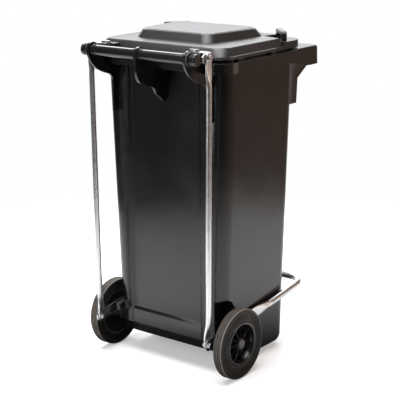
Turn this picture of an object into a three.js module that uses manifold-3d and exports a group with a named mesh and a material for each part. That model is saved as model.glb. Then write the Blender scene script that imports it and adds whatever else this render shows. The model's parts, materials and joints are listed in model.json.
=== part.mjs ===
// Two-wheeled refuse bin with a foot pedal that lifts the lid.
// Millimetres, +Z up, +Y to the rear (handle and wheels), X across the bin.
// Origin: on the ground, below the centre of the whole object's box.
import * as THREE from "three";
import { mergeVertices } from "three/addons/utils/BufferGeometryUtils.js";
import Module from "manifold-3d";

const wasm = await Module();
wasm.setup();

// ---- driving dimensions ----
const GAP = 0.3; // air between pieces that touch

const WHEEL_R = 100; // tyre radius, so also the axle height
const AXLE = { y: 111, z: WHEEL_R, r: 10 };
const TYRE = { inside: 210, outside: 240, bore: 64 };

const TUB = { bottom: 12, lip: 895, front: -187, rear: 148, corner: 46, wall: 4 };
const TUB_HALF_LOW = 183; // half width where the side walls would meet the ground
const TUB_HALF_HIGH = 216; // half width under the collar
const PANEL = { half: 128, blend: 10, depth: 7 }; // sunk rear panel between the corner columns

const COLLAR = { half: 240, front: -263, rear: 188, bottom: 857, top: 884, wall: 4 };
const COLLAR_CORNER = 62; // radius of the rear corners
const COLLAR_FRONT_CORNER = 16;
// Deeper front lip, lifted by the truck's comb.
const COMB = { bottom: 836, top: 888, ribs: 13, pitch: 33, rib: 1.3, web: 2.2 };

const BAR = { y: 244, z: 900, r: 14.5, bore: 9.3 }; // handle tube, also the lid's hinge line
const EAR = { inside: 162, outside: 168, ring: 22, middleRing: 20 };
const PIN = { r: 9, head: 16, end: 196 };

const LID = { half: 226, front: -203, rear: 172, skirt: 891, step: 898, edge: 920, crown: 923, corner: 44 };
// Lowered front corners of the lid, and the grip that crosses each of them.
const TRAY = { inside: 154, rear: -104, top: 911, floor: 908, rim: 8 };
const GRIP = { x: 184, y: -150, length: 84, thick: 15, top: 937, window: 928, post: 13 };
const PLATEAU = { half: 143, taper: 0.15, front: -105, rear: 98, top: 947 }; // narrower to the rear
const LID_WALL = 3;
const HINGE_ARM = { inside: EAR.outside + GAP, outside: 174.3, eye: 20 };

const ROD = { r: 7.75, flat: 2.2, wide: 12.2 };
const ROD_LOW = { y: 210, z: 118.5 }; // rear pedal bolt
const ROD_HIGH = { y: 208, z: 903 }; // lid bracket bolt
const ROD_X = { low: 191.95, tubeLow: 197.45, tubeHigh: 203.2, high: 202.5 }; // its middle, flat to flat
const ROD_FLAT = { tip: 12.5, low: 18, high: 25, blend: 58 };
// The U-shaped pedal tube: half sizes, place of the crossbar, and stations along its arms.
const PEDAL = { r: 10.6, flat: 2.5, tall: 16, tip: 15, barY: -255, barZ: 185, bend: 45 };
PEDAL.flatEnd = 222; // from the rear bolt
PEDAL.roundStart = 288;
const ARM_X = 197; // middle of the flattened pedal arms
const PIPE_X = 201; // middle of the round part of the arms
const HANGER = { inside: 188.9, outside: 194.2, eye: 17.5 };
const BRACKET = { boltY: 203, inside: 138, plate: 3, low: 912.9, flange: 197.2 };
const BRACKET_BOLTS = [145, 160]; // their places along X
const BOLT_R = 4; // M8 fasteners
const HEX = 7.5; // corner radius of their heads and nuts

// ---- materials ----
const plastic = (color, roughness) => new THREE.MeshStandardMaterial({ color, roughness, metalness: 0 });
const tubPlastic = plastic("#29292b", 0.42);
const lidPlastic = plastic("#2c2c2e", 0.38);
const hubPlastic = plastic("#141416", 0.3);
const capPlastic = plastic("#55565a", 0.5);
const tyreRubber = plastic("#1d1c1c", 0.85);
const padRubber = plastic("#101010", 0.9);
const zinc = new THREE.MeshStandardMaterial({ color: "#c9ccd1", roughness: 0.28, metalness: 1 });
const zincBolt = new THREE.MeshStandardMaterial({ color: "#b9bdc4", roughness: 0.35, metalness: 1 });

// ---- solids ----
const group = new THREE.Group();

// A closed geometry as a solid that can be joined and cut.
function solid(geometry) {
  const bare = geometry.index ? geometry.toNonIndexed() : geometry.clone();
  bare.deleteAttribute("normal");
  bare.deleteAttribute("uv");
  const merged = mergeVertices(bare, 1e-4);
  return new wasm.Manifold(new wasm.Mesh({
    numProp: 3,
    vertProperties: merged.attributes.position.array,
    triVerts: new Uint32Array(merged.index.array),
  }));
}

function add(name, body, material) {
  const made = body.getMesh();
  const geometry = new THREE.BufferGeometry();
  geometry.setAttribute("position", new THREE.BufferAttribute(new Float32Array(made.vertProperties), 3));
  geometry.setIndex(new THREE.BufferAttribute(new Uint32Array(made.triVerts), 1));
  const mesh = new THREE.Mesh(geometry, material);
  mesh.name = name;
  group.add(mesh);
}

// Skin over rings of points that all run the same way round; each end is closed by a fan.
function loft(rings) {
  const n = rings[0].length;
  const points = rings.flat();
  const faces = [];
  const middle = (ring) => ring.reduce((sum, p) => sum.add(p), new THREE.Vector3()).divideScalar(n);
  for (let k = 0; k + 1 < rings.length; k++)
    for (let i = 0; i < n; i++) {
      const j = (i + 1) % n;
      const a = k * n + i;
      const b = k * n + j;
      faces.push(a, b, b + n, a, b + n, a + n);
    }
  const first = points.push(middle(rings[0])) - 1;
  const last = points.push(middle(rings[rings.length - 1])) - 1;
  const top = (rings.length - 1) * n;
  for (let i = 0; i < n; i++) {
    const j = (i + 1) % n;
    faces.push(first, j, i, last, top + i, top + j);
  }
  const geometry = new THREE.BufferGeometry().setFromPoints(points);
  geometry.setIndex(faces);
  const made = solid(geometry);
  if (made.volume() > 0) return made;
  geometry.setIndex(faces.reverse());
  return solid(geometry);
}

// A flat outline given as [y, z] points or a Shape, thickened along X.
function plateX(outline, x0, x1) {
  const isShape = outline instanceof THREE.Shape;
  const shape = isShape ? outline : new THREE.Shape(outline.map(([y, z]) => new THREE.Vector2(y, z)));
  const depth = x1 - x0;
  const geometry = new THREE.ExtrudeGeometry(shape, { depth, bevelEnabled: false, curveSegments: 12 });
  const turn = new THREE.Matrix4().set(0, 0, 1, 0, 1, 0, 0, 0, 0, 1, 0, 0, 0, 0, 0, 1);
  return solid(geometry.applyMatrix4(turn).translate(x0, 0, 0));
}

function box(x0, x1, y0, y1, z0, z1) {
  const block = new THREE.BoxGeometry(x1 - x0, y1 - y0, z1 - z0);
  return solid(block.translate((x0 + x1) / 2, (y0 + y1) / 2, (z0 + z1) / 2));
}

function cylinderX(r, x0, x1, y, z, sides = 24) {
  const bar = new THREE.CylinderGeometry(r, r, x1 - x0, sides).rotateZ(Math.PI / 2);
  return solid(bar.translate((x0 + x1) / 2, y, z));
}

function cylinderZ(r, z0, z1, x, y, sides = 20) {
  const bar = new THREE.CylinderGeometry(r, r, z1 - z0, sides).rotateX(Math.PI / 2);
  return solid(bar.translate(x, y, (z0 + z1) / 2));
}

// A turned piece: [radius, x] profile spun about the X line through (y, z).
function turnedX(profile, y, z, sides) {
  const lathe = new THREE.LatheGeometry(profile.map(([r, x]) => new THREE.Vector2(r, x)), sides);
  return solid(lathe.rotateZ(-Math.PI / 2).translate(0, y, z));
}

// The same piece on the other side of the bin.
const mirrored = (body) => body.mirror([1, 0, 0]);

function addPair(name, body, material) {
  add(name + "_right", body, material);
  add(name + "_left", mirrored(body), material);
}

// Points along a quadratic curve, without its first point.
function bend([y0, z0], [yc, zc], [y1, z1], steps = 8) {
  return Array.from({ length: steps }, (_, k) => {
    const t = (k + 1) / steps;
    const u = 1 - t;
    return [u * u * y0 + 2 * u * t * yc + t * t * y1, u * u * z0 + 2 * u * t * zc + t * t * z1];
  });
}

const arc = (y, z, r, from, to, steps = 10) =>
  Array.from({ length: steps + 1 }, (_, k) => {
    const a = THREE.MathUtils.degToRad(from + ((to - from) * k) / steps);
    return [y + r * Math.cos(a), z + r * Math.sin(a)];
  });

// Rounded rectangle ring at height z; a sunk panel can be pressed into its rear side.
function ring(half, front, rear, r, z, sunk = 0, steps = 5, frontR = r) {
  const points = [];
  const corner = (cx, cy, radius, from) => {
    const turn = arc(cx, cy, radius, from, from + 90, steps);
    points.push(...turn.map(([x, y]) => new THREE.Vector3(x, y, z)));
  };
  corner(half - frontR, front + frontR, frontR, -90);
  corner(half - r, rear - r, r, 0);
  if (sunk) {
    const wide = PANEL.half;
    const narrow = PANEL.half - PANEL.blend;
    points.push(new THREE.Vector3(wide, rear, z), new THREE.Vector3(narrow, rear - sunk, z));
    points.push(new THREE.Vector3(-narrow, rear - sunk, z), new THREE.Vector3(-wide, rear, z));
  }
  corner(r - half, rear - r, r, 90);
  corner(frontR - half, front + frontR, frontR, 180);
  return points;
}

// ---- tub ----
const tubHalf = (z) => TUB_HALF_LOW + ((TUB_HALF_HIGH - TUB_HALF_LOW) * z) / COLLAR.bottom;

const tubRing = (z, inset) =>
  ring(tubHalf(z) - inset, TUB.front + inset, TUB.rear - inset, TUB.corner - inset, z, PANEL.depth);

// Side view of what is cut away under the rear of the floor, grown by the wall for the inside.
function rearCut(grow) {
  const out = 80;
  const slope = [[20, 11], [38, 20], [58, 30], [78, 39], [98, 49], [TUB.rear - 4, 97]];
  const outline = [
    [slope[0][0], -out],
    ...slope.map(([y, z]) => [y, z + grow]),
    [TUB.rear + out, 97 + grow],
    [TUB.rear + out, -out],
  ];
  return plateX(outline.reverse(), -TUB_HALF_HIGH, TUB_HALF_HIGH);
}

// Wheel pocket in one rear corner, open to the side and to the rear.
function wheelPocket(grow) {
  const front = 82 - grow;
  const top = 218 + grow;
  const side = [
    [front, -40],
    [front, top - 44],
    ...bend([front, top - 44], [front, top], [front + 40, top], 6),
    [TUB.rear + 60, top],
    [TUB.rear + 60, -40],
  ];
  return plateX(side.reverse(), 166 - grow, TUB_HALF_HIGH + 40);
}

function collar() {
  const c = COLLAR;
  const skin = (z, inset, r) => {
    const [half, front, rear] = [c.half - inset, c.front + inset, c.rear - inset];
    return ring(half, front, rear, COLLAR_CORNER - r, z, 0, 5, COLLAR_FRONT_CORNER - r);
  };
  const outer = (z, draft) => skin(z, draft, 0);
  const inner = (z, inset) => skin(z, inset, inset);
  const shell = loft([outer(COMB.bottom, 0), outer(COMB.top - 3, 1), outer(COMB.top, 4)])
    .subtract(loft([inner(COMB.bottom - 5, c.wall), inner(c.top - c.wall, c.wall + 1)]));
  const under = [
    [-86, c.bottom],
    [300, c.bottom],
    [300, 800],
    [-330, 800],
    [-330, COMB.bottom],
    [-212, COMB.bottom],
    ...bend([-212, COMB.bottom], [-170, COMB.bottom + 2], [-150, COMB.bottom + 10], 4),
  ];
  const over = [[-160, COMB.top], [-95, c.top], [300, c.top], [300, 930], [-160, 930]];
  return shell.subtract(plateX(under.reverse(), -300, 300)).subtract(plateX(over, -300, 300));
}

// Ribs inside the front lip, which the truck's comb grips.
function combRibs() {
  const lip = COLLAR.front + 2;
  const wall = TUB.front + 2;
  const rib = [[lip, COMB.bottom + 6], [wall, COMB.bottom - 8], [wall, 882], [lip, 882]];
  return Array.from({ length: COMB.ribs }, (_, k) => {
    const x = (k - (COMB.ribs - 1) / 2) * COMB.pitch;
    return plateX(rib, x - COMB.rib, x + COMB.rib);
  });
}

// Webs under the front lip that carry the load into the front corners and the front wall.
function frontWebs() {
  const web = [
    [COLLAR.front + 6, COMB.bottom + 6],
    [COLLAR.front + 16, COMB.bottom - 8],
    [-200, 798],
    [-195, 728],
    [-150, 728],
    [-150, COMB.bottom + 6],
  ];
  return [-205, -70, 70, 205].map((x) => plateX(web, x - COMB.web, x + COMB.web));
}

// Outer ear: ring round the handle, a bulging underside and a fin down the corner column.
const OUTER_EAR = [
  ...arc(BAR.y, BAR.z, EAR.ring, 205, -8, 16),
  ...bend([BAR.y + 21.8, 897], [BAR.y + 12, 846], [186, 828], 8),
  ...bend([186, 828], [167, 823], [166, 800], 5),
  [166, 720],
  [TUB.rear - 2, 720],
  [TUB.rear - 2, 882],
  [190, 882],
];
// Middle ear: a fuller belly and a short fin that dies into the sunk panel.
const MIDDLE_EAR = [
  ...arc(BAR.y, BAR.z, EAR.middleRing, 205, -20, 16),
  ...bend([262.8, 893.2], [267, 852], [250, 829], 6),
  ...bend([250, 829], [240, 818], [205, 811], 5),
  ...bend([205, 811], [184, 806], [181, 788], 5),
  [150, 764],
  [TUB.rear - 9, 764],
  [TUB.rear - 9, 882],
  [190, 882],
];

function buildTub() {
  const skin = [[TUB.bottom, 15], [TUB.bottom + 5, 6], [TUB.bottom + 18, 0], [TUB.lip, 0]];
  const room = [[TUB.bottom + TUB.wall, 17], [TUB.bottom + 20, TUB.wall], [TUB.lip + 40, TUB.wall]];
  let shell = loft(skin.map(([z, inset]) => tubRing(z, inset)));
  let hollow = loft(room.map(([z, inset]) => tubRing(z, inset)));
  const pocket = wheelPocket(0);
  const grown = wheelPocket(TUB.wall);
  shell = shell.subtract(rearCut(0)).subtract(pocket).subtract(mirrored(pocket));
  hollow = hollow.subtract(rearCut(TUB.wall)).subtract(grown).subtract(mirrored(grown));

  let body = shell.add(collar());
  for (const piece of [...combRibs(), ...frontWebs()]) body = body.add(piece);
  const back = TUB.rear - 1;
  const housing = [[130, 98], [back, 98], [back, 138], [back - PANEL.depth, 152], [130, 152]];
  body = body.add(plateX(housing, -124, 124)); // moulded over the axle on the rear panel
  body = body.subtract(hollow);

  // axle sleeve across the rear, feet, ears and handle
  body = body.add(cylinderX(17, -188.5, 188.5, AXLE.y, AXLE.z));
  for (const side of [-1, 1]) {
    const sole = (z, grow) => ring(16 + grow, -168 - grow, -70 + grow, 12, z, 0, 3);
    const foot = loft([sole(0, -3), sole(TUB.bottom + 4, 0)]);
    body = body.add(foot.translate([side * 118, 0, 0]));
    const x0 = side > 0 ? EAR.inside : -EAR.outside;
    body = body.add(plateX(OUTER_EAR.slice().reverse(), x0, x0 + EAR.outside - EAR.inside));
  }
  body = body.add(plateX(MIDDLE_EAR.slice().reverse(), -4, 4));
  body = body.add(cylinderX(BAR.r, -EAR.outside, EAR.outside, BAR.y, BAR.z));
  const stops = [-158, -12, 6, 152]; // thicker collars on the handle, next to the ears
  for (const x of stops) body = body.add(cylinderX(BAR.r + 2, x, x + 6, BAR.y, BAR.z));

  body = body.subtract(cylinderX(BAR.bore, -EAR.outside - 1, EAR.outside + 1, BAR.y, BAR.z));
  return body.subtract(cylinderX(AXLE.r + GAP, -200, 200, AXLE.y, AXLE.z));
}

// ---- lid ----
// The lid's skin from the skirt up to the raised middle, drawn in by the inset for the inside.
function lidSkin(inset) {
  const l = LID;
  const low = inset ? l.skirt - 10 : l.skirt;
  const edge = (z, step, r) =>
    ring(l.half - step - inset, l.front + step + inset, l.rear - step - inset, r - inset, z - inset);
  return loft([
    ring(l.half - inset, l.front + inset, l.rear - inset, l.corner - inset, low),
    edge(l.step, 2, l.corner),
    edge(l.step + 1, 5, l.corner - 2),
    edge(l.edge - 3, 15, l.corner - 6),
    edge(l.edge, 19, l.corner - 8),
    plateauRing(l.crown, 14, inset),
    plateauRing(PLATEAU.top - 3, 2, inset),
    plateauRing(PLATEAU.top, -3, inset),
  ]);
}

// Outline of the raised middle, narrower to the rear.
function plateauRing(z, grow, inset) {
  const p = PLATEAU;
  const narrowing = (y) => 1 - (p.taper * (y - p.front)) / (p.rear - p.front);
  const side = grow - inset;
  const outline = ring(p.half + side, p.front - side, p.rear + side, 34, z - inset);
  return outline.map((q) => q.setX(q.x * narrowing(q.y)));
}

// Space above a lowered corner: down to its rim, and inside the rim down to its floor.
function trayCut(grow) {
  const t = TRAY;
  const [inside, rear, front] = [t.inside - grow, t.rear + grow, LID.front];
  const open = box(inside, 260, front - 40, rear, t.top - grow, 990);
  const sunk = box(inside, LID.half - t.rim + grow, front + t.rim - grow, rear, t.floor - grow, 990);
  return open.add(sunk);
}

// Upright outer wall of a lowered corner, standing out from the lid's sloping edge.
function trayTab(inset) {
  const l = LID;
  const low = inset ? l.skirt - 10 : l.skirt;
  const high = inset ? TRAY.floor - inset : TRAY.top;
  const wall = (z) => ring(l.half - inset, l.front + inset, l.rear - inset, l.corner - inset, z);
  const corner = box(TRAY.inside + inset, 260, l.front - 40, TRAY.rear - inset, 860, 990);
  return loft([wall(low), wall(high)]).intersect(corner);
}

// Hand grip: an upright loop that stands across a lowered corner.
function lidGrip() {
  const g = GRIP;
  const half = g.length / 2;
  const shoulder = g.top - 5;
  const loop = [[-half, 906], [half, 906], [half, shoulder], [half - 5, g.top], [5 - half, g.top], [-half, shoulder]];
  const reach = half - g.post;
  const hand = [[-reach, TRAY.floor], [reach, TRAY.floor], [reach, g.window], [-reach, g.window]];
  const across = new THREE.Matrix4().makeRotationZ(THREE.MathUtils.degToRad(-45));
  const upright = plateX(loop, -g.thick / 2, g.thick / 2).subtract(plateX(hand, -g.thick, g.thick));
  return upright.transform(across.elements).translate([g.x, g.y, 0]);
}

function hingeArm() {
  const h = HINGE_ARM;
  const side = [...arc(BAR.y, BAR.z, h.eye, -150, 150, 20), [160, 910], [160, 893], [BAR.y - 30, 889]];
  return plateX(side, h.inside, h.outside)
    .subtract(cylinderX(PIN.r + 0.4, h.inside - 1, h.outside + 1, BAR.y, BAR.z));
}

// Pad on the lid's rear edge that the steel bracket is bolted to.
function bracketPad() {
  const web = plateX([[160, 893], [166, 893], [215, 906], [160, 906]], 136, 138.2);
  return box(136, 168.5, 160, 219, 905, BRACKET.low - GAP).add(web);
}

function buildLid() {
  const cornered = (inset) => {
    const tray = trayCut(inset);
    const tab = trayTab(inset);
    return lidSkin(inset).subtract(tray).subtract(mirrored(tray)).add(tab).add(mirrored(tab));
  };
  let lid = cornered(0).subtract(cornered(LID_WALL));
  const inside = box(-LID.half + 8, LID.half - 8, LID.front + 8, LID.rear - 8, 860, 914);
  for (const piece of [hingeArm(), bracketPad()]) {
    const outsideOnly = piece.subtract(inside);
    lid = lid.add(outsideOnly).add(mirrored(outsideOnly));
  }
  const grip = lidGrip();
  lid = lid.add(grip).add(mirrored(grip));
  for (const x of BRACKET_BOLTS) {
    const hole = cylinderZ(BOLT_R + GAP, 890, 930, x, BRACKET.boltY);
    lid = lid.subtract(hole).subtract(mirrored(hole));
  }
  return lid;
}

// ---- wheels ----
function tyre() {
  const t = TYRE;
  const m = (t.inside + t.outside) / 2;
  const half = [
    [t.bore, t.inside + 3],
    [t.bore + 6, t.inside + 1],
    [WHEEL_R - 14, t.inside],
    [WHEEL_R - 3, t.inside + 1],
    [WHEEL_R, t.inside + 4],
    [WHEEL_R, m - 1.6],
    [WHEEL_R - 2, m - 1],
  ];
  const profile = [...half, ...half.map(([r, x]) => [r, 2 * m - x]).reverse()];
  return turnedX([...profile, profile[0]], AXLE.y, AXLE.z, 48);
}

function hub() {
  const t = TYRE;
  const rim = t.bore - GAP;
  const bore = AXLE.r + GAP;
  const spun = (profile, sides) => turnedX([...profile, profile[0]], AXLE.y, AXLE.z, sides);
  const bead = spun([
    [rim, t.inside + 3],
    [rim, t.outside - 2],
    [rim - 1, t.outside],
    [rim - 6, t.outside],
    [rim - 7, t.outside - 12],
    [rim - 10, t.inside + 8],
    [rim - 10, t.inside + 4],
    [rim - 8, t.inside + 3],
  ], 40);
  const neck = [[bore, t.inside + 2], [17, t.inside + 2], [15.5, t.outside - 6], [bore, t.outside - 6]];
  const sheet = [[15, t.inside + 6], [rim - 8, t.inside + 4], [rim - 8, t.inside + 7], [15, t.inside + 9]];
  const boss = spun(neck, 24);
  const disc = spun(sheet, 40);
  let made = bead.add(boss).add(disc);
  const spokes = 10;
  const web = plateX([[15, -1.6], [rim - 5, -1.6], [rim - 5, 1.6], [15, 1.6]], t.inside + 5, t.inside + 20);
  for (let k = 0; k < spokes; k++) {
    const turn = new THREE.Matrix4().makeRotationX((2 * Math.PI * k) / spokes);
    made = made.add(web.transform(turn.elements).translate([0, AXLE.y, AXLE.z]));
  }
  return made;
}

function hubCap() {
  const face = TYRE.outside;
  const bore = AXLE.r + GAP;
  const cup = [
    [0, face + 1],
    [8, face + 0.6],
    [12, face - 1],
    [12.9, face - 5.7],
    [bore, face - 5.7],
    [bore, face - 3.5],
    [0, face - 3.5],
  ];
  return turnedX(cup.reverse(), AXLE.y, AXLE.z, 24);
}

const washer = (r, bore, x0, x1, y, z, sides = 24) =>
  cylinderX(r, x0, x1, y, z, sides).subtract(cylinderX(bore, x0 - 1, x1 + 1, y, z, 24));

// ---- pedal, push rods and brackets ----
// Flattened-tube section: half sizes a and b, from a circle (squareness 2) towards a rectangle.
function tubeSection(a, b, squareness, place, sides = 12) {
  return Array.from({ length: sides }, (_, k) => {
    const t = (2 * Math.PI * (k + 0.5)) / sides;
    const power = (v) => Math.sign(v) * Math.abs(v) ** (2 / squareness);
    return place(a * power(Math.cos(t)), b * power(Math.sin(t)));
  });
}

const smooth = (t) => t * t * (3 - 2 * t);
const mix = (a, b, t) => a + (b - a) * t;

// Shares of the way to a flattened end, where the section narrows to a rounded tip.
const TIP = [0.1, 0.35, 0.65, 0.9];
const tipWidth = (width, t) => width * Math.sqrt(t * (2 - t));

// Section part of the way from a flattened strip (t = 0) to the round tube (t = 1).
const blended = (flat, wide, r, t) => [mix(flat, r, t), mix(wide, r, t), mix(7, 2, Math.min(1, 1.6 * t))];
const BLEND_STEPS = 6;

function pedal() {
  const p = PEDAL;
  const run = Math.hypot(p.barY - ROD_LOW.y, p.barZ - ROD_LOW.z);
  const along = new THREE.Vector3(0, (p.barY - ROD_LOW.y) / run, (p.barZ - ROD_LOW.z) / run);
  const up = new THREE.Vector3(0, along.z, -along.y);
  const start = new THREE.Vector3(0, ROD_LOW.y, ROD_LOW.z);
  const sections = [];
  // one section: place across the bin, place along the arm, heading, half sizes and squareness
  const station = (x, s, angle, a, b, squareness) => {
    const centre = start.clone().addScaledVector(along, s).add(new THREE.Vector3(x, 0, 0));
    const across = new THREE.Vector3(Math.cos(angle), 0, 0).addScaledVector(along, Math.sin(angle));
    const place = (u, v) => centre.clone().addScaledVector(across, u).addScaledVector(up, v);
    sections.push(tubeSection(a, b, squareness, place, 16));
  };
  for (const t of TIP) station(ARM_X, p.tip * (t - 1), 0, p.flat, tipWidth(p.tall, t), 6);
  station(ARM_X, 8, 0, p.flat, p.tall, 7);
  for (let k = 0; k <= BLEND_STEPS; k++) {
    const t = smooth(k / BLEND_STEPS);
    const s = mix(p.flatEnd, p.roundStart, k / BLEND_STEPS);
    station(mix(ARM_X, PIPE_X, t), s, 0, ...blended(p.flat, p.tall, p.r, t));
  }
  const turns = 10;
  for (let k = 0; k <= turns; k++) {
    const a = (Math.PI / 2) * (k / turns);
    station(PIPE_X - p.bend * (1 - Math.cos(a)), run - p.bend + p.bend * Math.sin(a), a, p.r, p.r, 2);
  }
  const otherSide = (section) => section.map((q) => new THREE.Vector3(-q.x, q.y, q.z));
  const made = loft([...sections, ...sections.map(otherSide).reverse()]);
  return made.subtract(cylinderX(BOLT_R + GAP, -230, 230, ROD_LOW.y, ROD_LOW.z, 20));
}

// Welded plate that hangs the pedal arm on the axle.
function hanger() {
  const h = HANGER;
  const side = new THREE.Shape();
  side.moveTo(AXLE.y + h.eye, AXLE.z);
  side.lineTo(AXLE.y + 26, 134);
  side.lineTo(AXLE.y - 22, 143);
  side.lineTo(AXLE.y - h.eye, AXLE.z);
  side.absarc(AXLE.y, AXLE.z, h.eye, Math.PI, 2 * Math.PI, false);
  return plateX(side, h.inside, h.outside).subtract(cylinderX(AXLE.r + GAP, 180, 200, AXLE.y, AXLE.z));
}

function pushRod() {
  const x = ROD_X;
  const f = ROD_FLAT;
  const sections = [];
  const level = (atX, y, z, [a, b, squareness]) =>
    sections.push(tubeSection(a, b, squareness, (u, v) => new THREE.Vector3(atX + u, y + v, z)));
  const lean = (z) => mix(ROD_LOW.y, ROD_HIGH.y, (z - ROD_LOW.z) / (ROD_HIGH.z - ROD_LOW.z));
  const tip = (t) => [ROD.flat, tipWidth(ROD.wide, t), 6];
  for (const t of TIP) level(x.low, ROD_LOW.y, ROD_LOW.z - f.tip * (1 - t), tip(t));
  for (let k = 0; k <= BLEND_STEPS; k++) {
    const t = smooth(k / BLEND_STEPS);
    const z = ROD_LOW.z + f.low + (f.blend * k) / BLEND_STEPS;
    level(mix(x.low, x.tubeLow, t), lean(z), z, blended(ROD.flat, ROD.wide, ROD.r, t));
  }
  for (let k = BLEND_STEPS; k >= 0; k--) {
    const t = smooth(k / BLEND_STEPS);
    const z = ROD_HIGH.z - f.high - (f.blend * k) / BLEND_STEPS;
    level(mix(x.high, x.tubeHigh, t), lean(z), z, blended(ROD.flat, ROD.wide, ROD.r, t));
  }
  for (const t of TIP.slice().reverse()) level(x.high, ROD_HIGH.y, ROD_HIGH.z + f.tip * (1 - t), tip(t));
  return loft(sections)
    .subtract(cylinderX(BOLT_R + GAP, 180, 215, ROD_LOW.y, ROD_LOW.z, 20))
    .subtract(cylinderX(BOLT_R + GAP, 180, 215, ROD_HIGH.y, ROD_HIGH.z, 20));
}

const SLOT = { run: 8.5, r: BOLT_R + 1.9, lift: 0.3 }; // the rod's bolt slides in it as the lid opens

function lidBracket() {
  const b = BRACKET;
  const plate = box(b.inside, b.flange + b.plate, 191, 218, b.low, b.low + b.plate);
  const top = b.low + b.plate;
  const side = [[192, top], [190, 894], [196, 889], [224, 889], [230, 895], [230, 907], [218, top]];
  let made = plate.add(plateX(side.reverse(), b.flange, b.flange + b.plate));
  for (const x of BRACKET_BOLTS) made = made.subtract(cylinderZ(BOLT_R + GAP, 900, 930, x, b.boltY, 20));
  const y = ROD_HIGH.y;
  const z = ROD_HIGH.z + SLOT.lift;
  const outline = [...arc(y, z, SLOT.r, 90, 270, 8), ...arc(y + SLOT.run, z, SLOT.r, -90, 90, 8)];
  return made.subtract(plateX(outline, 190, 205));
}

// Hexagon bolt along X: head from headAt outwards, shank down to tipAt.
const boltX = (headAt, tipAt, y, z) =>
  cylinderX(HEX, headAt, headAt + 5.3, y, z, 6).add(cylinderX(BOLT_R, tipAt, headAt + 1, y, z, 20));
const nutX = (x0, y, z) => washer(HEX, BOLT_R + GAP, x0, x0 + 6.5, y, z, 6);

function boltZ(x, y) {
  const plateTop = BRACKET.low + BRACKET.plate;
  const head = cylinderZ(HEX, plateTop + GAP, plateTop + GAP + 5, x, y, 6);
  return head.add(cylinderZ(BOLT_R, 895, plateTop + 2, x, y, 20));
}

function nutZ(x, y) {
  return cylinderZ(HEX, 898, 904.7, x, y, 6).subtract(cylinderZ(BOLT_R + GAP, 890, 910, x, y, 20));
}

// Pin plugged into the handle tube: it carries the lid's eye and ends in a ribbed grip.
function hingePin() {
  const start = HINGE_ARM.outside + GAP;
  const grip = [[0, 140], [PIN.r, 140], [PIN.r, start], [PIN.head - 2, start], [PIN.head, start + 1.5]];
  const ribs = 4;
  for (let k = 0; k < ribs; k++) {
    const x = start + 2.5 + k * 3;
    grip.push([PIN.head, x], [PIN.head - 1.2, x + 1.1], [PIN.head, x + 2.2]);
  }
  grip.push([PIN.head, PIN.end - 2], [PIN.head - 2, PIN.end], [0, PIN.end]);
  return turnedX(grip, BAR.y, BAR.z, 24);
}

// ---- assembly ----
add("tub", buildTub(), tubPlastic);
add("lid", buildLid(), lidPlastic);
addPair("hinge_pin", hingePin(), hubPlastic);

add("axle", cylinderX(AXLE.r, -TYRE.outside + 4, TYRE.outside - 4, AXLE.y, AXLE.z), zincBolt);
addPair("tyre", tyre(), tyreRubber);
addPair("wheel_hub", hub(), hubPlastic);
addPair("hub_cap", hubCap(), capPlastic);
addPair("axle_spacer", washer(15, AXLE.r + GAP, HANGER.outside + GAP, 209.3, AXLE.y, AXLE.z), hubPlastic);
addPair("axle_washer", washer(18, AXLE.r + GAP, 209.6, 211.6, AXLE.y, AXLE.z), zincBolt);

add("foot_pedal", pedal(), zinc);
addPair("pedal_hanger", hanger(), zinc);
addPair("push_rod", pushRod(), zinc);
addPair("lid_bracket", lidBracket(), zinc);

addPair("pedal_bolt", boltX(ARM_X + PEDAL.flat + GAP, 180, ROD_LOW.y, ROD_LOW.z), zincBolt);
addPair("pedal_nut", nutX(182.9, ROD_LOW.y, ROD_LOW.z), zincBolt);
addPair("bracket_pivot_bolt", boltX(205, 188.5, ROD_HIGH.y, ROD_HIGH.z), zincBolt);
addPair("bracket_pivot_washer", washer(7.8, BOLT_R + GAP, 195.3, 196.9, ROD_HIGH.y, ROD_HIGH.z), zincBolt);
addPair("bracket_pivot_nut", nutX(188.5, ROD_HIGH.y, ROD_HIGH.z), zincBolt);
BRACKET_BOLTS.forEach((x, k) => {
  addPair("bracket_bolt_" + (k + 1), boltZ(x, BRACKET.boltY), zincBolt);
  addPair("bracket_nut_" + (k + 1), nutZ(x, BRACKET.boltY), zincBolt);
});
for (const [name, y] of [["front", -50], ["rear", 100]]) {
  const pad = box(219.5, 227.5, y - 11, y + 11, COLLAR.top + GAP, LID.skirt - GAP);
  addPair("lid_buffer_" + name, pad, padRubber);
}

export default group;
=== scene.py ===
# %% [markdown]
# # A two-wheeled bin with a foot pedal
# The bin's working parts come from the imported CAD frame. This script gives them their finish:
# moulded black plastic, solid rubber tyres and bright zinc tube. Where a moulding needs rounder
# edges or finer detail than the frame holds, a piece is made here and stands for the CAD part.
# All sizes are in metres, in the frame's own axes: Z up, +Y to the rear, X across the bin.

# %% tools and frame
import json
import math
import bmesh
import bpy
from mathutils import Matrix, Vector

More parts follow.
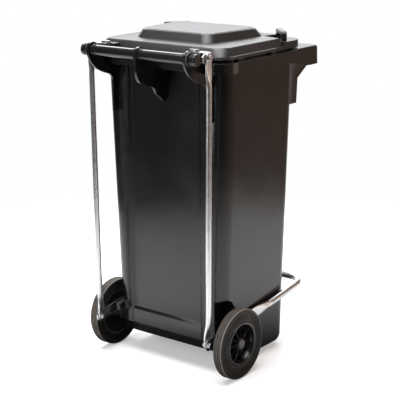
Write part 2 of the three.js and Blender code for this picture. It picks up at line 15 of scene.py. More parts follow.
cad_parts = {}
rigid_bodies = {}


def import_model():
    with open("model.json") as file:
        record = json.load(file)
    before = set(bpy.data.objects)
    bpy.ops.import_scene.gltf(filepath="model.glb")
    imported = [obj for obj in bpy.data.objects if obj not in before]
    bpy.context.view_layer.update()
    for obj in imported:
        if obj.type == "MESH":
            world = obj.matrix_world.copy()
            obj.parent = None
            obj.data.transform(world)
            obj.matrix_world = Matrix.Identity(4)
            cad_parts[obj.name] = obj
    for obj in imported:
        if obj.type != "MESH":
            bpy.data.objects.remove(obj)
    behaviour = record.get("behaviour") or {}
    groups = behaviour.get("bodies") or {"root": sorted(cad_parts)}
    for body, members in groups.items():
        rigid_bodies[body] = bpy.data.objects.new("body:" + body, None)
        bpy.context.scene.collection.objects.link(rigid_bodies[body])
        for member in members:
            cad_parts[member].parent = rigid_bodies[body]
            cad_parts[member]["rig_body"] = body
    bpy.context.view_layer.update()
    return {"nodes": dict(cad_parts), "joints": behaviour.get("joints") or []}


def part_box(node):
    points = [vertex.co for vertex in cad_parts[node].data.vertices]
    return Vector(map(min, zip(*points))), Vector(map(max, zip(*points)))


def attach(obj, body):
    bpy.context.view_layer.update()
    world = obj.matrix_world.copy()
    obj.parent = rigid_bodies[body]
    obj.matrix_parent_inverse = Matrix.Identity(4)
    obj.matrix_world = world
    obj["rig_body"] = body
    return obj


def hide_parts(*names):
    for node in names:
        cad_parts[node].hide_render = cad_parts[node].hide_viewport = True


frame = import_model()
nodes = frame["nodes"]
joints = {j["name"]: j for j in frame["joints"]}
SIDES = (("right", 1.0), ("left", -1.0))
CAD_CREASE = math.radians(32)  # CAD edges sharper than this stay crisp
print("CAD parts:", len(nodes))

# %% [markdown]
# ## Shared shader groups
# Three effects are used in several finishes, so each is a node group built once.
# *Moulded grain* is the fine orange-peel that a mould leaves on polyethylene.
# *Scuffs and dust* mixes a pale film into the colour, more on faces that look up and near the
# ground.
# *Drawn metal* is the faint streaking along a drawn tube with soft cloudy zinc.

# %% node group helpers
def new_group(name, inputs, outputs):
    tree = bpy.data.node_groups.new(name, "ShaderNodeTree")
    for label, kind, value in inputs:
        socket = tree.interface.new_socket(label, in_out="INPUT", socket_type=kind)
        if value is not None:
            socket.default_value = value
    for label, kind in outputs:
        tree.interface.new_socket(label, in_out="OUTPUT", socket_type=kind)
    start = tree.nodes.new("NodeGroupInput")
    end = tree.nodes.new("NodeGroupOutput")
    return tree, start, end


def node(tree, kind, **settings):
    made = tree.nodes.new(kind)
    for key, value in settings.items():
        setattr(made, key, value)
    return made


def noise(tree, vector, scale, detail=3.0, rough=0.55):
    made = node(tree, "ShaderNodeTexNoise")
    made.inputs["Detail"].default_value = detail
    made.inputs["Roughness"].default_value = rough
    if isinstance(scale, float):
        made.inputs["Scale"].default_value = scale
    else:
        tree.links.new(scale, made.inputs["Scale"])
    tree.links.new(vector, made.inputs["Vector"])
    return made.outputs["Fac"]


def remap(tree, value, low, high, to_low, to_high):
    made = node(tree, "ShaderNodeMapRange", clamp=True)
    for key, number in (("From Min", low), ("From Max", high)):
        made.inputs[key].default_value = number
    for key, target in (("To Min", to_low), ("To Max", to_high)):
        if isinstance(target, (int, float)):
            made.inputs[key].default_value = target
        else:
            tree.links.new(target, made.inputs[key])
    tree.links.new(value, made.inputs["Value"])
    return made.outputs["Result"]


def math_node(tree, operation, a, b=None):
    made = node(tree, "ShaderNodeMath", operation=operation)
    for socket, value in zip(made.inputs, (a, b)):
        if value is None:
            continue
        if isinstance(value, (int, float)):
            socket.default_value = value
        else:
            tree.links.new(value, socket)
    return made.outputs[0]


# %% moulded grain
SLOW_WAVES = 9.0  # noise scale of the gentle waviness in a moulded wall


def build_grain():
    tree, start, end = new_group(
        "Moulded grain",
        [("Scale", "NodeSocketFloat", 900.0), ("Depth", "NodeSocketFloat", 0.00004),
         ("Waviness", "NodeSocketFloat", 0.0004)],
        [("Normal", "NodeSocketVector")])
    place = node(tree, "ShaderNodeTexCoord").outputs["Object"]
    fine = noise(tree, place, start.outputs["Scale"], detail=2.0)
    slow = noise(tree, place, SLOW_WAVES, detail=2.0)
    first = node(tree, "ShaderNodeBump")
    first.inputs["Strength"].default_value = 1.0
    tree.links.new(slow, first.inputs["Height"])
    tree.links.new(start.outputs["Waviness"], first.inputs["Distance"])
    second = node(tree, "ShaderNodeBump")
    second.inputs["Strength"].default_value = 0.6
    tree.links.new(fine, second.inputs["Height"])
    tree.links.new(start.outputs["Depth"], second.inputs["Distance"])
    tree.links.new(first.outputs["Normal"], second.inputs["Normal"])
    tree.links.new(second.outputs["Normal"], end.inputs["Normal"])
    return tree


GRAIN = build_grain()
print("group:", GRAIN.name)

# %% scuffs and dust
DUST_COLOR = (0.20, 0.17, 0.14, 1)
FACING_UP = (0.3, 1.0)  # upward part of the normal where dust starts and where it is full
NEAR_GROUND = (0.35, 0.0)  # height where splashes start and where they are full
SCUFF_STRETCH = (60.0, 60.0, 5.0)  # scuffs run up and down


def build_dust():
    tree, start, end = new_group(
        "Scuffs and dust",
        [("Color", "NodeSocketColor", (0.02, 0.02, 0.021, 1)),
         ("Dust", "NodeSocketColor", DUST_COLOR),
         ("Amount", "NodeSocketFloat", 0.3), ("Roughness", "NodeSocketFloat", 0.4)],
        [("Color", "NodeSocketColor"), ("Roughness", "NodeSocketFloat")])
    geometry = node(tree, "ShaderNodeNewGeometry")
    coords = node(tree, "ShaderNodeTexCoord").outputs["Object"]
    up = node(tree, "ShaderNodeSeparateXYZ")
    tree.links.new(geometry.outputs["Normal"], up.inputs[0])
    where = node(tree, "ShaderNodeSeparateXYZ")
    tree.links.new(coords, where.inputs[0])
    lying = remap(tree, up.outputs["Z"], *FACING_UP, 0.0, 0.5)
    low = remap(tree, where.outputs["Z"], *NEAR_GROUND, 0.0, 0.35)
    cloud = remap(tree, noise(tree, coords, 11.0, 6.0, 0.65), 0.42, 0.72, 0.0, 1.0)
    stretch = node(tree, "ShaderNodeMapping")
    stretch.inputs["Scale"].default_value = SCUFF_STRETCH
    tree.links.new(coords, stretch.inputs["Vector"])
    scuffs = noise(tree, stretch.outputs["Vector"], 1.0, 3.0, 0.6)
    streak = remap(tree, scuffs, 0.55, 0.80, 0.0, 0.5)
    film = math_node(tree, "ADD", math_node(tree, "ADD", lying, low), streak)
    film = math_node(tree, "MULTIPLY", math_node(tree, "ADD", film, 0.15), cloud)
    film = math_node(tree, "MULTIPLY", film, start.outputs["Amount"])
    film.node.use_clamp = True
    mix = node(tree, "ShaderNodeMix", data_type="RGBA")
    tree.links.new(film, mix.inputs["Factor"])
    tree.links.new(start.outputs["Color"], mix.inputs[6])
    tree.links.new(start.outputs["Dust"], mix.inputs[7])
    tree.links.new(mix.outputs[2], end.inputs["Color"])
    gain = math_node(tree, "MULTIPLY", film, 0.9)
    uneven = remap(tree, noise(tree, coords, 6.0, 3.0), 0.3, 0.7, -0.05, 0.05)
    total = math_node(tree, "ADD", start.outputs["Roughness"], gain)
    total = math_node(tree, "ADD", total, uneven)
    total.node.use_clamp = True
    tree.links.new(total, end.inputs["Roughness"])
    return tree


DUST = build_dust()
print("group:", DUST.name)

# %% drawn metal
def build_drawn():
    tree, start, end = new_group(
        "Drawn metal",
        [("Color", "NodeSocketColor", (0.72, 0.73, 0.75, 1)),
         ("Streaks", "NodeSocketFloat", 0.08), ("Roughness", "NodeSocketFloat", 0.2),
         ("Along", "NodeSocketVector", (500.0, 500.0, 6.0))],
        [("Color", "NodeSocketColor"), ("Roughness", "NodeSocketFloat"),
         ("Normal", "NodeSocketVector")])
    coords = node(tree, "ShaderNodeTexCoord").outputs["Object"]
    stretch = node(tree, "ShaderNodeVectorMath", operation="MULTIPLY")
    tree.links.new(coords, stretch.inputs[0])
    tree.links.new(start.outputs["Along"], stretch.inputs[1])
    lines = noise(tree, stretch.outputs[0], 1.0, 3.0)
    cloud = noise(tree, coords, 24.0, 5.0, 0.6)
    less = math_node(tree, "MULTIPLY", start.outputs["Streaks"], -1.0)
    dull = remap(tree, cloud, 0.25, 0.8, start.outputs["Streaks"], less)
    rough = math_node(tree, "ADD", start.outputs["Roughness"], dull)
    drawn = remap(tree, lines, 0.3, 0.7, less, start.outputs["Streaks"])
    rough = math_node(tree, "ADD", rough, drawn)
    rough.node.use_clamp = True
    shade = remap(tree, cloud, 0.2, 0.8, 0.90, 1.0)
    tint = node(tree, "ShaderNodeVectorMath", operation="SCALE")
    tree.links.new(start.outputs["Color"], tint.inputs[0])
    tree.links.new(shade, tint.inputs["Scale"])
    bump = node(tree, "ShaderNodeBump")
    bump.inputs["Strength"].default_value = 0.10
    bump.inputs["Distance"].default_value = 0.00003
    tree.links.new(lines, bump.inputs["Height"])
    tree.links.new(tint.outputs[0], end.inputs["Color"])
    tree.links.new(rough, end.inputs["Roughness"])
    tree.links.new(bump.outputs["Normal"], end.inputs["Normal"])
    return tree


DRAWN = build_drawn()
print("group:", DRAWN.name)

# %% [markdown]
# ## Finishes
# The tub is glossy black polyethylene, and a thin film of dust breaks up its sheen. The lid is the
# same plastic, greyer and duller. The hub is nearly as glossy as the tub, and its cap is grey.
# Rubber is rough, and grey-brown dust stays on the flanks of its tread grooves and between its side
# rings. Zinc plate is a bright metal.

# %% materials
def grouped(tree, group, **values):
    made = node(tree, "ShaderNodeGroup")
    made.node_tree = group
    for key, value in values.items():
        made.inputs[key].default_value = value
    return made


def start_material(name):
    material = bpy.data.materials.new(name)
    material.use_nodes = True
    tree = material.node_tree
    return material, tree, tree.nodes["Principled BSDF"]


def plastic(name, color, roughness, dust, grain=0.00004, waviness=0.0004):
    material, tree, shader = start_material(name)
    film = grouped(tree, DUST, Color=(*color, 1), Amount=dust, Roughness=roughness)
    skin = grouped(tree, GRAIN, Depth=grain, Waviness=waviness)
    tree.links.new(film.outputs["Color"], shader.inputs["Base Color"])
    tree.links.new(film.outputs["Roughness"], shader.inputs["Roughness"])
    tree.links.new(skin.outputs["Normal"], shader.inputs["Normal"])
    shader.inputs["IOR"].default_value = 1.56
    return material


def metal(name, color, roughness, streaks, along=(500.0, 500.0, 6.0)):
    material, tree, shader = start_material(name)
    drawn = grouped(tree, DRAWN, Color=(*color, 1), Streaks=streaks, Roughness=roughness,
                    Along=along)
    tree.links.new(drawn.outputs["Color"], shader.inputs["Base Color"])
    tree.links.new(drawn.outputs["Roughness"], shader.inputs["Roughness"])
    tree.links.new(drawn.outputs["Normal"], shader.inputs["Normal"])
    shader.inputs["Metallic"].default_value = 1.0
    return material


axle_point = Vector(joints["wheel_spin_right"]["pos_m"])
# Depths below the tread, and one place across the tyre, where a dust mask starts and ends.
UNDER_TREAD = (0.0002, 0.0005)
GROOVE_FLOOR = (0.0024, 0.0014)
SIDE_RINGS = (0.0105, 0.0115)
RING_VALLEYS = (0.0142, 0.0132)


def rubber(name, radius):
    """Black rubber. Dust stays on the flanks of the tread grooves and between the side rings."""
    material, tree, shader = start_material(name)
    coords = node(tree, "ShaderNodeTexCoord").outputs["Object"]
    parts = node(tree, "ShaderNodeSeparateXYZ")
    tree.links.new(coords, parts.inputs[0])
    dy = math_node(tree, "SUBTRACT", parts.outputs["Y"], axle_point.y)
    dz = math_node(tree, "SUBTRACT", parts.outputs["Z"], axle_point.z)
    square = math_node(tree, "ADD", math_node(tree, "MULTIPLY", dy, dy),
                       math_node(tree, "MULTIPLY", dz, dz))
    reach = math_node(tree, "SQRT", square)
    beside = math_node(tree, "ABSOLUTE", parts.outputs["X"])
    across = math_node(tree, "SUBTRACT", beside, abs(axle_point.x))
    across = math_node(tree, "ABSOLUTE", across)

    def by_depth(start, end, low, high):
        return remap(tree, reach, radius - start, radius - end, low, high)

    cloud = remap(tree, noise(tree, coords, 40.0, 5.0, 0.6), 0.25, 0.60, 0.45, 1.0)
    tread = math_node(tree, "MULTIPLY", by_depth(*UNDER_TREAD, 0.10, 1.0),
                      by_depth(*GROOVE_FLOOR, 0.0, 1.0))
    valleys = remap(tree, across, *RING_VALLEYS, 0.0, 0.22)
    side = math_node(tree, "MULTIPLY", by_depth(*SIDE_RINGS, 0.0, 1.0), valleys)
    film = math_node(tree, "MULTIPLY", math_node(tree, "ADD", tread, side), cloud)
    film.node.use_clamp = True
    mix = node(tree, "ShaderNodeMix", data_type="RGBA")
    tree.links.new(film, mix.inputs["Factor"])
    mix.inputs[6].default_value = (0.0085, 0.0080, 0.0078, 1)
    mix.inputs[7].default_value = (0.330, 0.290, 0.250, 1)
    tree.links.new(mix.outputs[2], shader.inputs["Base Color"])
    rough = remap(tree, film, 0.0, 1.0, 0.52, 0.92)
    tree.links.new(rough, shader.inputs["Roughness"])
    skin = grouped(tree, GRAIN, Depth=0.0002, Waviness=0.0003, Scale=450.0)
    tree.links.new(skin.outputs["Normal"], shader.inputs["Normal"])
    return material


TUB = plastic("Tub polyethylene", (0.0068, 0.0062, 0.0060), 0.19, dust=0.07)
LID = plastic("Lid polyethylene", (0.0100, 0.0100, 0.0106), 0.38, dust=0.10, waviness=0.0003)
TRIM = plastic("Hub plastic", (0.0110, 0.0110, 0.0115), 0.22, dust=0.10, grain=0.00001,
               waviness=0.0002)
CAP = plastic("Hub cap plastic", (0.105, 0.105, 0.110), 0.42, dust=0.25)
PAD = plastic("Pad rubber", (0.012, 0.012, 0.012), 0.75, dust=0.3)
TYRE = rubber("Tyre rubber", axle_point.z)
ZINC_UP = metal("Zinc tube, upright", (0.74, 0.75, 0.77), 0.27, 0.02)
ZINC_ALONG = metal("Zinc tube, along the pedal", (0.70, 0.70, 0.71), 0.24, 0.03,
                   (500.0, 6.0, 500.0))
ZINC_PLATE = metal("Zinc plate", (0.70, 0.71, 0.73), 0.26, 0.08, (60.0, 60.0, 60.0))
ZINC_BOLT = metal("Zinc bolt", (0.62, 0.63, 0.66), 0.24, 0.06, (90.0, 90.0, 90.0))
FINISH = {
    "tub": (TUB, "body_plastic"), "lid": (LID, "lid_plastic"),
    "hinge_pin": (TRIM, "trim_plastic"), "wheel_hub": (TRIM, "trim_plastic"),
    "axle_spacer": (TRIM, "trim_plastic"), "hub_cap": (CAP, "cap_plastic"),
    "tyre": (TYRE, "tyre_rubber"), "lid_buffer": (PAD, "pad_rubber"),
    "foot_pedal": (ZINC_ALONG, "zinc_tube"), "pedal_hanger": (ZINC_PLATE, "zinc_tube"),
    "push_rod": (ZINC_UP, "zinc_tube"), "lid_bracket": (ZINC_PLATE, "zinc_tube"),
    "pedal_bolt": (ZINC_BOLT, "zinc_bolt"), "pedal_nut": (ZINC_BOLT, "zinc_bolt"),
    "bracket_": (ZINC_BOLT, "zinc_bolt"), "axle": (ZINC_BOLT, "zinc_bolt"),
}


def finish_of(name):
    """Material and slot from the longest entry in FINISH that starts the name."""
    key = max((k for k in FINISH if name.startswith(k)), key=len)
    return FINISH[key]


for name, part in nodes.items():
    material, _ = finish_of(name)
    part.data.materials.clear()
    part.data.materials.append(material)
    part.data.shade_smooth()
    part.data.set_sharp_from_angle(angle=CAD_CREASE)
print("materials:", len(bpy.data.materials))

# %% [markdown]
# ## Mesh builders
# A *turned* piece spins a closed profile about the wheel axis, which gives one ring of points for
# each profile point. Neighbouring rings are joined by clean quads, the last ring to the first.

# %% mesh builders
def finish_mesh(name, bm, material, body, *stands_for, angle):
    """Links a mesh as a piece that rides a body and stands for CAD parts."""
    bmesh.ops.remove_doubles(bm, verts=bm.verts, dist=1e-7)
    bmesh.ops.recalc_face_normals(bm, faces=bm.faces)
    mesh = bpy.data.meshes.new(name)
    bm.to_mesh(mesh)
    bm.free()
    made = bpy.data.objects.new(name, mesh)
    bpy.context.scene.collection.objects.link(made)
    mesh.materials.append(material)
    mesh.shade_smooth()
    mesh.set_sharp_from_angle(angle=math.radians(angle))
    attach(made, body)
    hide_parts(*stands_for)
    return made


def turned(profile, centre, steps):
    """profile is (radius, x) points; the piece turns about the X line through centre."""
    bm = bmesh.new()
    rows = []
    for r, x in profile:
        row = []
        for k in range(steps):
            a = 2 * math.pi * k / steps
            row.append(bm.verts.new((x, centre.y + r * math.cos(a), centre.z + r * math.sin(a))))
        rows.append(row)
    for here, there in zip(rows, rows[1:] + [rows[0]]):
        for i in range(steps):
            j = (i + 1) % steps
            bm.faces.new((here[i], here[j], there[j], there[i]))
    return bm


def size_of(name):
    """Low corner, high corner and middle of a CAD part."""
    low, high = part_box(name)
    return low, high, (low + high) / 2


# %% rounded mouldings
ROUND_STEPS = 3
ROUND_ANGLE = math.radians(29)  # edges sharper than this are rounded
FLAT_ENOUGH = math.radians(1.0)  # CAD facets within this angle merge into one face
SAME_POINT = 2e-5


def rounded_copy(name, width):
    """A copy of a CAD moulding with its hard edges rounded, as they leave a mould."""
    part = nodes[name]
    made = bpy.data.objects.new(name + "_moulding", part.data.copy())
    bpy.context.scene.collection.objects.link(made)
    bm = bmesh.new()
    bm.from_mesh(made.data)
    bmesh.ops.remove_doubles(bm, verts=bm.verts, dist=SAME_POINT)
    bmesh.ops.dissolve_limit(bm, angle_limit=FLAT_ENOUGH, verts=bm.verts, edges=bm.edges)
    bm.to_mesh(made.data)
    bm.free()
    made.data.shade_smooth()
    made.data.set_sharp_from_angle(angle=ROUND_ANGLE)
    edge = made.modifiers.new("Rounding", "BEVEL")
    edge.width = width
    edge.segments = ROUND_STEPS
    edge.limit_method = "ANGLE"
    edge.angle_limit = ROUND_ANGLE
    edge.use_clamp_overlap = True
    even = made.modifiers.new("Even shading", "WEIGHTED_NORMAL")
    even.keep_sharp = False
    even.weight = 60
    graph = bpy.context.evaluated_depsgraph_get()
    result = bpy.data.meshes.new_from_object(made.evaluated_get(graph))
    made.modifiers.clear()
    made.data = result
    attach(made, part["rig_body"])
    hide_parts(name)
    return made


for name, width in (("tub", 0.0018), ("lid", 0.0014)):
    piece = rounded_copy(name, width)
    print(piece.name, len(piece.data.polygons))

# %% [markdown]
# ## Wheels
# The tyre's side has rings moulded into it and its tread has grooves that leave four ribs.
# The hub is a deep dish with thin webs. Its webs repeat round the axle, so a geometry-node tree
# places them.

# %% tyres
TYRE_STEPS = 128
TYRE_SEAT = 0.0002  # air between hub and tyre
SIDE_RING_COUNT = 5
SHOULDER_STEPS = 6
GROOVE = ((0.0, 0.0018), (0.0012, 0.0008), (0.0026, 0.0005))  # (depth, half width)
GROOVE_OFFSET = 0.0060  # the outer grooves' distance from the middle one


def groove_flank(radius, offset, sign):
    """One flank of a tread groove as (radius, x) points, from the tread down to its floor."""
    return [(radius - depth, offset + sign * half) for depth, half in GROOVE]


def tyre_profile(inside, outside, bore, radius):
    """Closed (radius, x) section of the tyre, mirrored about its middle plane."""
    middle = (inside + outside) / 2
    half = (outside - inside) / 2
    side = [(bore, half - 0.0030), (bore + 0.003, half - 0.0012)]
    first, last = bore + 0.006, radius - 0.011
    pitch = (last - first) / SIDE_RING_COUNT
    crown, valley = half - 0.0004, half - 0.0022
    for k in range(SIDE_RING_COUNT):
        r = first + k * pitch
        side += [(r, valley), (r + 0.0005, crown),
                 (r + pitch - 0.0018, crown), (r + pitch - 0.0012, valley)]
    side.append((last + 0.0006, crown))
    for k in range(1, SHOULDER_STEPS + 1):
        a = math.radians(90 * k / SHOULDER_STEPS)
        side.append((radius - 0.009 + 0.009 * math.sin(a), half - 0.0052 + 0.0050 * math.cos(a)))
    tread = groove_flank(radius, GROOVE_OFFSET, 1)
    tread += reversed(groove_flank(radius, GROOVE_OFFSET, -1))
    tread += groove_flank(radius, 0.0, 1)
    top = side + tread
    return [(r, middle + x) for r, x in top] + [(r, middle - x) for r, x in reversed(top)]


def make_tyre(side):
    name = "tyre_" + side
    low, high, mid = size_of(name)
    hub_low, hub_high, _ = size_of("wheel_hub_" + side)
    bore = (hub_high.z - hub_low.z) / 2 + TYRE_SEAT
    profile = tyre_profile(low.x, high.x, bore, (high.z - low.z) / 2)
    bm = turned(profile, mid, TYRE_STEPS)
    return finish_mesh(name + "_ribbed", bm, TYRE, "wheel_" + side, name, angle=28)


for side, _ in SIDES:
    print(make_tyre(side).name)

# %% hubs
def repeat_about_x():
    """Geometry nodes: copies of the incoming mesh, turned in equal steps about an X line."""
    tree = bpy.data.node_groups.new("Repeat about the axle", "GeometryNodeTree")
    tree.interface.new_socket("Geometry", in_out="INPUT", socket_type="NodeSocketGeometry")
    tree.interface.new_socket("Count", in_out="INPUT", socket_type="NodeSocketInt")
    tree.interface.new_socket("Centre", in_out="INPUT", socket_type="NodeSocketVector")
    tree.interface.new_socket("Material", in_out="INPUT", socket_type="NodeSocketMaterial")
    tree.interface.new_socket("Geometry", in_out="OUTPUT", socket_type="NodeSocketGeometry")
    start = tree.nodes.new("NodeGroupInput")
    end = tree.nodes.new("NodeGroupOutput")
    places = node(tree, "GeometryNodePoints")
    tree.links.new(start.outputs["Count"], places.inputs["Count"])
    tree.links.new(start.outputs["Centre"], places.inputs["Position"])
    index = node(tree, "GeometryNodeInputIndex").outputs[0]
    share = math_node(tree, "DIVIDE", index, start.outputs["Count"])
    angle = math_node(tree, "MULTIPLY", share, 2 * math.pi)
    turn = node(tree, "ShaderNodeCombineXYZ")
    tree.links.new(angle, turn.inputs["X"])
    copies = node(tree, "GeometryNodeInstanceOnPoints")
    tree.links.new(places.outputs["Points"], copies.inputs["Points"])
    tree.links.new(start.outputs["Geometry"], copies.inputs["Instance"])
    tree.links.new(turn.outputs[0], copies.inputs["Rotation"])
    real = node(tree, "GeometryNodeRealizeInstances")
    tree.links.new(copies.outputs["Instances"], real.inputs["Geometry"])
    finish = node(tree, "GeometryNodeSetMaterial")
    tree.links.new(real.outputs["Geometry"], finish.inputs["Geometry"])
    tree.links.new(start.outputs["Material"], finish.inputs["Material"])
    tree.links.new(finish.outputs["Geometry"], end.inputs["Geometry"])
    return tree


REPEAT = repeat_about_x()


def repeated(bm, count, centre, material, name):
    """Runs the repeat group on a mesh drawn about the origin, and gives the finished mesh."""
    mesh = bpy.data.meshes.new(name)
    bm.to_mesh(mesh)
    bm.free()
    made = bpy.data.objects.new(name, mesh)
    bpy.context.scene.collection.objects.link(made)
    modifier = made.modifiers.new("Repeat", "NODES")
    modifier.node_group = REPEAT
    sockets = {i.name: i.identifier for i in REPEAT.interface.items_tree if i.in_out == "INPUT"}
    modifier[sockets["Count"]] = count
    modifier[sockets["Centre"]] = centre
    modifier[sockets["Material"]] = material
    graph = bpy.context.evaluated_depsgraph_get()
    result = bpy.data.meshes.new_from_object(made.evaluated_get(graph))
    bpy.data.objects.remove(made)
    return result


HUB_STEPS = 96
WEB_COUNT = 10
WEB_HALF = 0.0015
BORE_GAP = 0.0003  # air between hub and axle


def rounded_arc(cr, cx, r, first, last, steps=5):
    """(radius, x) points round a corner centred at (cr, cx), between two angles in degrees."""
    points = []
    for k in range(steps + 1):
        a = math.radians(first + (last - first) * k / steps)
        points.append((cr + r * math.cos(a), cx + r * math.sin(a)))
    return points


def hub_profile(inside, outside, rim, bore):
    """Closed section of the dish, x measured from the bin's middle on the right-hand wheel."""
    lip = rounded_arc(rim - 0.0020, outside - 0.0020, 0.0020, 0, 90)
    lip += rounded_arc(rim - 0.0064, outside - 0.0018, 0.0018, 90, 180)
    dish = [(rim - 0.0088, outside - 0.0070), (rim - 0.0165, inside + 0.0120)]
    floor = rounded_arc(rim - 0.0205, inside + 0.0100, 0.0040, 0, -90, 4)
    boss_face, bore_end, back_face = outside - 0.0062, inside + 0.0022, inside + 0.0034
    boss = [(0.0190, inside + 0.0062), (0.0168, inside + 0.0080), (0.0158, outside - 0.0070),
            (0.0150, boss_face), (bore, boss_face), (bore, bore_end), (0.0170, bore_end),
            (0.0180, back_face)]
    back = [(rim - 0.0090, back_face), (rim, back_face)]
    return lip + dish + floor + boss + back


def web_solid(inner, outer, low, high_in, high_out, half, sign):
    """One thin web, drawn about the X axis and pointing along +Y, thinner at its free edge."""
    bm = bmesh.new()
    ends = []
    for y, top in ((inner, high_in), (outer, high_out)):
        outline = ((low, -half), (top - 0.0008, -half * 0.6), (top, 0.0),
                   (top - 0.0008, half * 0.6), (low, half))
        ends.append([bm.verts.new((sign * x, y, z)) for x, z in outline])
    count = len(ends[0])
    for k in range(count):
        following = (k + 1) % count
        bm.faces.new((ends[0][k], ends[0][following], ends[1][following], ends[1][k]))
    for end in ends:
        bm.faces.new(end)
    bmesh.ops.recalc_face_normals(bm, faces=bm.faces)
    return bm


def make_hub(side, sign):
    name = "wheel_hub_" + side
    low, high, mid = size_of(name)
    tyre_low, tyre_high, _ = size_of("tyre_" + side)
    inside = min(abs(tyre_low.x), abs(tyre_high.x))
    outside = max(abs(tyre_low.x), abs(tyre_high.x))
    rim = (high.z - low.z) / 2
    bore = size_of("axle")[1].z - mid.z + BORE_GAP
    centre = Vector((0, mid.y, mid.z))
    profile = [(r, sign * x) for r, x in hub_profile(inside, outside, rim, bore)]
    bm = turned(profile, centre, HUB_STEPS)
    web = web_solid(0.0155, rim - 0.0110, inside + 0.0052, outside - 0.0085, outside - 0.0150,
                    WEB_HALF, sign)
    webs = repeated(web, WEB_COUNT, centre, TRIM, name + "_webs")
    bm.from_mesh(webs)
    return finish_mesh(name + "_dish", bm, TRIM, "wheel_" + side, name, angle=35)


for side, sign in SIDES:
    print(make_hub(side, sign).name)

# %% [markdown]
# ## Studio
# The bin stands on pale paper, and to the eye all round it is white. Glossy black plastic shows
# what is round it, so reflections see a room of their own: a bright wall behind the bin, a warm
# glow to the camera's right, and dim elsewhere. Close to the bin the paper's colour is darker to
# reflections and bounced light, a painted shadow under the bin. A broad light overhead and one
# behind lift the lid, a tall narrow one on the camera's left draws the bright line down the zinc
# tubes, and a weak warm one fills the right.

# %% camera
AZIMUTH, ELEVATION, ROLL = math.radians(217.76), math.radians(14.97), math.radians(-0.49)
DISTANCE = 3.4795
LENS, SENSOR = 108.6, 36.0  # millimetres
TARGET = Vector((0.0, -0.0124, 0.449))
forward = Vector((-math.sin(AZIMUTH) * math.cos(ELEVATION),
                  math.cos(AZIMUTH) * math.cos(ELEVATION), -math.sin(ELEVATION)))
flat_right = forward.cross(Vector((0, 0, 1))).normalized()
flat_up = flat_right.cross(forward)
right = flat_right * math.cos(ROLL) + flat_up * math.sin(ROLL)
up = flat_up * math.cos(ROLL) - flat_right * math.sin(ROLL)
camera = bpy.data.objects.new("Camera", bpy.data.cameras.new("Camera"))
camera.data.sensor_width = SENSOR
camera.data.lens = LENS
camera.matrix_world = Matrix((
    (right.x, up.x, -forward.x, TARGET.x - forward.x * DISTANCE),
    (right.y, up.y, -forward.y, TARGET.y - forward.y * DISTANCE),
    (right.z, up.z, -forward.z, TARGET.z - forward.z * DISTANCE),
    (0, 0, 0, 1)))
bpy.context.scene.collection.objects.link(camera)
bpy.context.scene.camera = camera
print("camera at", [round(v, 3) for v in camera.matrix_world.translation])

# %% lights and floor
# Where a change starts and ends: two distances on the floor, then two facings in the room.
# the reach of the painted shadow round the bin, where it is full and where it ends
PAINTED_SHADOW_REACH = (0.28, 0.62)
FLOOR_FADE = (1.45, 1.85)
BRIGHT_WALL = (0.66, 0.86)
WARM_SIDE = (0.25, 0.85)


def area(name, place, aim, size, power, color=(1, 1, 1)):
    data = bpy.data.lights.new(name, "AREA")
    data.shape = "RECTANGLE"
    data.size, data.size_y = size
    data.energy = power
    data.color = color
    made = bpy.data.objects.new(name, data)
    made.location = place
    made.rotation_euler = (Vector(aim) - Vector(place)).to_track_quat("-Z", "Y").to_euler()
    bpy.context.scene.collection.objects.link(made)


def stage_floor():
    """Pale paper that fades out with distance, with a painted shadow near the bin that the camera
    doesn't see.
    """
    bm = bmesh.new()
    bmesh.ops.create_grid(bm, x_segments=1, y_segments=1, size=12.0)
    mesh = bpy.data.meshes.new("Floor")
    bm.to_mesh(mesh)
    bm.free()
    made = bpy.data.objects.new("Floor", mesh)
    material, tree, shader = start_material("Floor paper")
    coords = node(tree, "ShaderNodeTexCoord").outputs["Object"]
    shade = remap(tree, noise(tree, coords, 2.0), 0.3, 0.7, 0.86, 0.90)
    shader.inputs["Roughness"].default_value = 0.9
    lift = node(tree, "ShaderNodeLightPath").outputs["Is Camera Ray"]
    far = node(tree, "ShaderNodeVectorMath", operation="LENGTH")
    tree.links.new(coords, far.inputs[0])
    # painted shadow: close to the bin the paper's colour darkens for every ray but the camera's
    painted_shadow = remap(tree, far.outputs["Value"], *PAINTED_SHADOW_REACH, 0.12, 0.90)
    paper = math_node(tree, "MAXIMUM", math_node(tree, "MULTIPLY", shade, lift), painted_shadow)
    tree.links.new(paper, shader.inputs["Base Color"])
    tree.links.new(math_node(tree, "MULTIPLY", lift, 0.35), shader.inputs["Emission Strength"])
    shader.inputs["Emission Color"].default_value = (1, 1, 1, 1)
    there = remap(tree, far.outputs["Value"], *FLOOR_FADE, 1.0, 0.0)
    tree.links.new(there, shader.inputs["Alpha"])
    mesh.materials.append(material)
    bpy.context.scene.collection.objects.link(made)


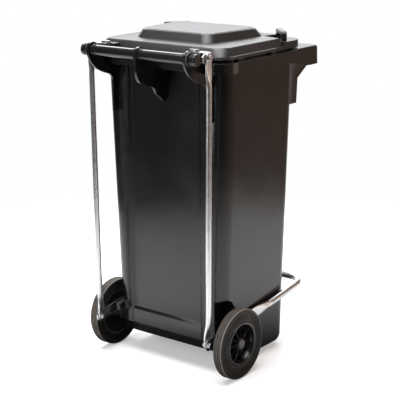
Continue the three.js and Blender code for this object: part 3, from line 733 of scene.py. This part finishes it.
def surround():
    """White to the eye. Reflections see a bright wall, a dim room and a warm right-hand side."""
    world = bpy.data.worlds.new("Surround")
    bpy.context.scene.world = world
    world.use_nodes = True
    tree = world.node_tree
    back = tree.nodes["Background"]
    direction = node(tree, "ShaderNodeTexCoord").outputs["Generated"]
    facing = node(tree, "ShaderNodeVectorMath", operation="DOT_PRODUCT")
    tree.links.new(direction, facing.inputs[0])
    facing.inputs[1].default_value = (forward.x, forward.y, 0.15)
    wall = remap(tree, facing.outputs["Value"], *BRIGHT_WALL, 0.0, 1.0)
    aside = node(tree, "ShaderNodeVectorMath", operation="DOT_PRODUCT")
    tree.links.new(direction, aside.inputs[0])
    aside.inputs[1].default_value = (right.x, right.y, 0.0)
    warm = remap(tree, aside.outputs["Value"], *WARM_SIDE, 0.0, 1.0)
    dim = node(tree, "ShaderNodeMix", data_type="RGBA")
    tree.links.new(warm, dim.inputs["Factor"])
    dim.inputs[6].default_value = (0.030, 0.028, 0.028, 1)
    dim.inputs[7].default_value = (0.300, 0.215, 0.170, 1)
    room = node(tree, "ShaderNodeMix", data_type="RGBA")
    tree.links.new(wall, room.inputs["Factor"])
    tree.links.new(dim.outputs[2], room.inputs[6])
    room.inputs[7].default_value = (1.35, 1.35, 1.42, 1)
    seen = node(tree, "ShaderNodeLightPath").outputs["Is Camera Ray"]
    pick = node(tree, "ShaderNodeMix", data_type="RGBA")
    tree.links.new(seen, pick.inputs["Factor"])
    tree.links.new(room.outputs[2], pick.inputs[6])
    pick.inputs[7].default_value = (1.0, 1.0, 1.0, 1)
    tree.links.new(pick.outputs[2], back.inputs["Color"])
    back.inputs["Strength"].default_value = 1.0


stage_floor()
surround()
bpy.context.scene.view_settings.view_transform = "Standard"
toward = Vector((-forward.x, -forward.y, 0)).normalized()
left = Vector((-right.x, -right.y, 0)).normalized()
area("Overhead", (0.1, 0.5, 3.0), (0, 0, 0.5), (2.4, 1.8), 130)
area("Back light", Vector((0, 0, 2.3)) - toward * 2.0, (0, 0, 0.9), (2.6, 1.2), 48)
area("Tall light", toward * 1.5 + left * 2.1 + Vector((0, 0, 1.2)), (0, 0.1, 0.5), (0.5, 2.2), 30)
area("Right fill", toward * 0.6 - left * 2.6 + Vector((0, 0, 1.2)), (-0.2, 0, 0.4), (1.6, 1.8), 9,
     (1.0, 0.88, 0.76))
print("studio ready")
